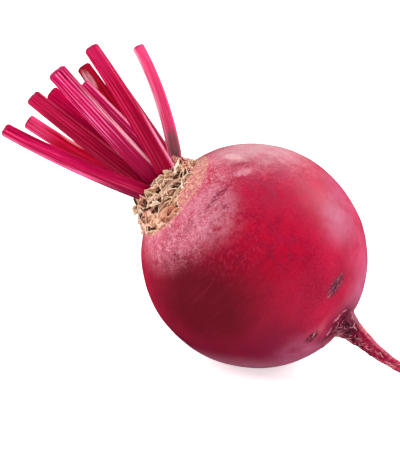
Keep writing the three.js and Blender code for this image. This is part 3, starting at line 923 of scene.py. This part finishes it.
# A row of the same kind that stands before the stalks' feet.
CUFF_ROW = (7, 225, 350, 6.9, 3.2, 5.5, 0.0, 0.25, 0.0, 0.9)
STRIPS = 44                     # low torn strips strewn between the rows
HEART_RINGS = [(0.3, 6), (0.55, 9), (0.8, 12)]      # share of the neck's radius, count
NECK_GROOVE = (5.4, 6.8, 7.4)       # heights of its lower edge, its floor and its upper edge
NECK_GROOVE_DEPTH = 1.1
NECK_SIDES = 160
NECK_CUTS = 40
NECK_WRINKLE = 0.5
NECK_PATTERN_RADIUS = 13
SCALE_THICKNESS = 0.2
SCALE_WIDTHS = (0.6, 1.25)      # how much the flakes of a row differ from it, as shares
SCALE_HEIGHTS = (0.7, 1.3)
SCALE_LIFTS = (0.3, 1.6)
SHOULDER_STRETCH = 2.1          # how much further a flake stands out where it lies on the shoulder
SHOULDER_REACH = 2.2            # how far from the neck it can lie there
SCALE_SEED = 7


def neck_radius(height, around):
    below = min(max(1 - height / NECK_HEIGHT, 0), NECK_SKIRT)
    facing = max(math.cos(around - math.radians(APRON_HEADING)), 0)
    apron = APRON_SPREAD * facing * (1 - smoothstep(height, APRON_EDGE, APRON_TOP))
    return NECK_TOP_RADIUS + (NECK_FOOT_RADIUS - NECK_TOP_RADIUS) * below ** 1.5 + apron


def shoulder_skirt(height, around):
    """The radius of the root's round shoulder at a height in the crown's tilted frame."""
    rise = SHOULDER_HEIGHT * math.cos(math.radians(CROWN_TILT)) + height
    aside = SHOULDER_HEIGHT * math.sin(math.radians(CROWN_TILT))
    ring = HALF_ACROSS ** 2 - rise ** 2 - (aside * math.sin(around)) ** 2
    return aside * math.cos(around) + math.sqrt(max(ring, 0))


def neck_wrinkle(place):
    """The neck's torn rings, from -1 to 1, on the bar that it is shaped from."""
    return noise.fractal(Vector((place.x * 2.2, place.y * 2.2, place.z * 0.8)), 1.0, 2.0, 3)


def groove_share(height):
    """From 0 outside the groove that runs round the neck under its cuff to 1 on its floor."""
    low, floor, high = NECK_GROOVE
    return smoothstep(height, low, floor) * (1 - smoothstep(height, floor, high))


def make_neck():
    """The corky neck under the leaf bases, with torn rings and a groove under its cuff, painted
    darker as shade towards its top and in the groove.
    """
    neck = upright_bar("crown_neck", NECK_SIDES, NECK_HEIGHT + NECK_DEPTH, NECK_CUTS,
                       foot=-NECK_DEPTH)
    map_pattern(neck, lambda place: Vector((*place.xy * NECK_PATTERN_RADIUS, place.z)))
    # Painted shade: darker towards the neck's top and in its groove.
    paint(neck, "lip", lambda place: 0.3 + 0.45 * neck_wrinkle(place)
          - 0.3 * smoothstep(place.z, 0, 4) - 0.5 * groove_share(place.z))
    paint(neck, "tint", lambda place: 0.5 + 0.4 * noise.noise(place * 1.3))

    def shape(place):
        around = around_axis(place)
        rise = NECK_DOME * (1 - place.xy.length)
        radius = (neck_radius(place.z, around) + NECK_WRINKLE * neck_wrinkle(place)
                  - NECK_GROOVE_DEPTH * groove_share(place.z))
        return Vector((place.x * radius, place.y * radius, place.z + rise))

    move_points(neck, shape)
    return neck


def shape_scale(flake, row, around, draw, ring=1):
    """Bends a flat flake round the neck as a low torn strip, with its foot sunk in, its lip lifted
    and curled, and one end often come away. ring under 1 sets it inside the neck's rim."""
    foot, height, width, sunk, lift, rise, taper = row[3:]
    width *= draw.uniform(*SCALE_WIDTHS)
    height *= draw.uniform(*SCALE_HEIGHTS) * (1 + rise * math.sin(around) ** 2)
    lift *= draw.uniform(*SCALE_LIFTS)
    # The lower rows follow the root's shoulder, against which the neck is tilted.
    slope = NECK_FOOT_RADIUS * math.tan(math.radians(CROWN_TILT)) * math.cos(around)
    foot += slope * (1 - foot / NECK_HEIGHT) + draw.uniform(-0.6, 0.6)
    slant = draw.uniform(-1.2, 1.2)
    loose = draw.choice((-1, 0, 1)) * draw.uniform(0.3, 1.0)
    curl = draw.uniform(0, 0.3) * height
    seed = Vector((draw.uniform(0, 90), draw.uniform(0, 90), 0))

    def bend(place):
        across, up = place.x, place.y + 0.5
        torn = noise.fractal(Vector((across * width * 0.35, 0, 0)) + seed, 0.9, 2.0, 4)
        top = 1 - taper * abs(2 * across) ** 3 + 0.4 * torn
        wave = 0.7 * noise.noise(Vector((across * width * 0.15, 5, 0)) + seed)
        level = foot + height * up * top + across * slant + wave - curl * up ** 5
        angle = around + across * width * (1 - 0.15 * up * up) / neck_radius(foot, around)
        crumple = noise.fractal(
            Vector((across * width * 0.3, up * height * 0.8, 0)) + seed, 1, 2, 2)
        come_away = abs(loose) * max(2 * across * math.copysign(1, loose) - 0.3, 0) ** 2
        proud = (lift * up ** 1.4 + 0.7 * crumple * up + (come_away + 0.5 * curl) * up
                 - sunk * (1 - up))
        on_neck = neck_radius(level, angle) * ring
        on_shoulder = min(shoulder_skirt(level, angle), on_neck + SHOULDER_REACH) * ring
        radius = max(on_neck + proud, on_shoulder + proud * SHOULDER_STRETCH)
        return polar(radius, angle, level)

    map_pattern(flake, lambda place: Vector((place.x * width, place.y * height, 0)) + seed)
    # Painted shade: darkest at the foot, where the row below lies over it.
    paint(flake, "lip", lambda place: 0.1 + (place.y + 0.5) * 0.8)
    tint = draw.random()
    paint(flake, "tint", lambda place: tint + 0.15 * noise.noise(place * 3 + seed))
    move_points(flake, bend)


def make_scales():
    """The papery flakes of the dried leaf bases: rows round the neck, torn strips between them,
    rings inside its rim and a cuff before the stalks' feet."""
    bpy.ops.mesh.primitive_grid_add(x_subdivisions=34, y_subdivisions=8, size=MM)
    pattern = new_piece("crown_scales")
    draw = random.Random(SCALE_SEED)
    sites = []
    for row in SCALE_ROWS:
        for i in range(row[0]):
            share = (i + draw.uniform(-0.25, 0.25)) / row[0]
            sites.append((row, math.radians(lerp(row[1], row[2], share)), 1))
    for _ in range(STRIPS):
        row = (1, 0, 0, draw.uniform(-0.4, 5.2), draw.uniform(0.9, 1.8), 8.5, -0.2, 0.6, 0.0, 0.9)
        sites.append((row, draw.uniform(0, math.tau), 1))
    for ring, count in HEART_RINGS:
        row = (count, 0, 360, NECK_HEIGHT - 0.8, 2.2, 10 * ring, 0.0, 0.5, 0.0, 0.8)
        sites += [(row, math.tau * (i + draw.random()) / count, ring) for i in range(count)]
    count, start, end = CUFF_ROW[:3]
    sites += [(CUFF_ROW, math.radians(lerp(start, end, (i + 0.5) / count)), 1)
              for i in range(count)]
    flakes = []
    for row, around, ring in sites:
        flake = put_in_scene(pattern.name, pattern.data.copy())
        shape_scale(flake, row, around, draw, ring)
        flakes.append(flake)
    bpy.data.objects.remove(pattern)
    scales = join_as("crown_scales", flakes)
    add_modifier(scales, "SOLIDIFY", thickness=SCALE_THICKNESS * MM, offset=0)
    return scales


# ---- the leaf stalks

STALK_SIDES = 96
STALK_CUTS = 56
STALK_HOLLOW = 0.62             # share of its half thickness that the hollow side gives up
STALK_SUNK_FULLNESS = 0.78      # share of its section that its foot has in its socket
RIB_HEIGHT = 0.2
END_ROUND = 0.8                 # how far the rim of a cut end is worn back
STALK_LOOKS = {
    # name: flesh, rib and groove colours, ribs all round, blemishes, painted highlights and shade
    # Painted highlight line on its lower edge, painted shade along an edge and at its foot.
    "stalk_01": ("#cc0450", "#f0487c", "#94002e", 5,
                 [((-1.8, -1.4, 34), 0.6, 1.4, 0.03, "#ff6098"),
                  ((-3.4, 0, 30), 0.8, 1.8, 0.03, "#8c0438"),
                  ((-2.6, -1.6, 5), 1.6, 3.4, 0.14, "#7c0430")]),
    # Its pale line is a painted highlight.
    "stalk_02": ("#d80844", "#f04878", "#a80428", 11,
                 [((0, 0, 54), 4, 16, 1, "#ec4880"), ((-2.8, 0, 34), 0.8, 1.8, 0.2, "#ffb0b8")]),
    "stalk_03": ("#b0003a", "#cc2858", "#840024", 17, [((0, 0, 58), 4, 14, 1, "#c4144c")]),
    "stalk_04": ("#dc0850", "#f85c94", "#a80440", 11, []),
    # Painted shade towards the foot, and a painted highlight line.
    "stalk_05": ("#d40c5c", "#fc7cac", "#8c0034", 19,
                 [((0, 0, 12), 4, 15, 0.6, "#a80840"),
                  ((2.8, -0.6, 26), 0.4, 1.1, 0.03, "#ffc4d4")]),
    # Its pale line is a painted highlight.
    "stalk_06": ("#d0105c", "#f86ca4", "#b80c50", 9,
                 [((2.0, -0.6, 26), 0.4, 1.0, 0.03, "#ffb0cc")]),
    "stalk_07": ("#b80430", "#d82c54", "#8c0018", 11,
                 [((0.9, 1, 46.4), 0.9, 2.0, 0.35, "#e4a0ac")]),
    # Its pale line near the foot is a painted highlight.
    "stalk_08": ("#b40038", "#d8285c", "#880028", 15,
                 [((2.8, -0.6, 12), 0.4, 1.2, 0.05, "#ff90b4"), ((0, 0, 59), 4, 18, 1, "#cc1c58")]),
    # Its pale line is a painted highlight.
    "stalk_09": ("#f45088", "#ffa0c0", "#d83464", 9,
                 [((2.4, 0.8, 26), 0.8, 2.2, 0.04, "#ffa4c0"),
                  ((-1.3, 1.2, 9), 1.8, 3.8, 0.5, "#845c60")]),
    "stalk_10": ("#b00a40", "#e0487c", "#80042c", 9, []),
}


def rib_level(place, ribs):
    """From 0 in a groove to 1 on a rib. The ribs differ, wander and fade on the hollow side."""
    around = around_axis(place)
    wander = 0.35 * math.sin(place.z * 0.06 + around * 2 + ribs)
    uneven = 1.1 * math.sin(around * 2 + ribs) + 0.7 * math.sin(around * 3 + 2 * ribs)
    wave = 0.5 + 0.5 * math.cos(around * ribs + wander + uneven)
    unequal = 0.6 + 0.7 * noise.noise(Vector((place.x * 2.5, place.y * 2.5, place.z * 0.02 + ribs)))
    faded = 1 - 0.7 * smoothstep(place.y, -0.1, 0.4)
    return wave ** 1.5 * unequal * faded


def make_stalk(name, stalk, ribs):
    """One stalk: a rounded strip with low ribs on its back and a hollow front, laid along its
    bowed middle line, with a worn cut end."""
    foot_spot, fan, away, bow, long, wide, thick, groove = stalk
    lean = Vector((math.tan(math.radians(fan)), math.tan(math.radians(away)), 1)).normalized()
    surface = Vector((*foot_spot, NECK_HEIGHT))
    foot = surface - lean * STALK_SUNK
    tip = surface + lean * long
    middle = foot.lerp(tip, 0.5) + Vector((*bow, 0))
    length = long + STALK_SUNK
    hollow_side = Quaternion((0, 0, 1), math.radians(groove)) @ Vector((1, 0, 0))
    piece = upright_bar(f"{name}_flesh", STALK_SIDES, length, STALK_CUTS)

    def section(place):
        along = place.z / length
        fullness = lerp(STALK_SUNK_FULLNESS, 1, smoothstep(place.z, 0, STALK_SUNK + 3))
        half_wide = lerp(*wide, along) / 2 * fullness
        half_thick = lerp(*thick, along) / 2 * fullness
        hollow = 1 - STALK_HOLLOW * place.y ** 2 if place.y > 0 else 1
        lift = RIB_HEIGHT * (rib_level(place, ribs) - 0.4)
        across, through = half_wide + lift, half_thick * hollow + lift
        return Vector((place.x * across, place.y * through, place.z))

    def lay(place):
        flat = section(place)
        along = min(place.z / length, 1)
        spread = place.xy.length
        if place.z > length - 0.01:
            ragged = noise.noise(Vector((place.x * 2.2, place.y * 2.2, ribs)))
            along = 1 - (END_ROUND * spread ** 4 + 0.3 * (1 - spread ** 2) + 0.25 * ragged) / length
            flat *= 1 - 0.1 * spread ** 6
        centre = foot * (1 - along) ** 2 + middle * 2 * along * (1 - along) + tip * along ** 2
        heading = ((middle - foot) * (1 - along) + (tip - middle) * along).normalized()
        inward = (hollow_side - heading * hollow_side.dot(heading)).normalized()
        return centre + inward.cross(heading) * flat.x + inward * flat.y

    def cut_share(place):
        if place.z > length - 0.01:
            return 0.25 + 0.5 * smoothstep(place.xy.length, 0.7, 1)
        return 0.5 * smoothstep(place.z, length - 1, length)

    paint(piece, "ridge", lambda place: rib_level(place, ribs))
    paint(piece, "cut", cut_share)
    map_pattern(piece, section)
    move_points(piece, lay)
    return piece


# ---- put together

set_stage()
for softbox in SOFTBOXES:
    add_softbox(*softbox)

root = make_root()
bpy.context.view_layer.update()
scabs = make_scabs(root)
threads = make_threads()
finish_piece(root, beet_skin(), ["root"])
healed = scab()
finish_piece(scabs, healed)
finish_piece(threads, healed)

to_crown = Matrix.Scale(MM, 4) @ CROWN_PLACE @ Matrix.Scale(1 / MM, 4)
cork = dried_leaf_base()
for piece in (make_neck(), make_scales()):
    piece.data.transform(to_crown)
    finish_piece(piece, cork, ["crown"])

for name, stalk in STALKS.items():
    flesh, rib, groove, ribs, marks = STALK_LOOKS[name]
    piece = make_stalk(name, stalk, ribs)
    piece.data.transform(to_crown)
    material = stalk_skin(f"leaf_stalk_skin_{name[-2:]}", flesh, rib, groove, marks)
    finish_piece(piece, material, [name])
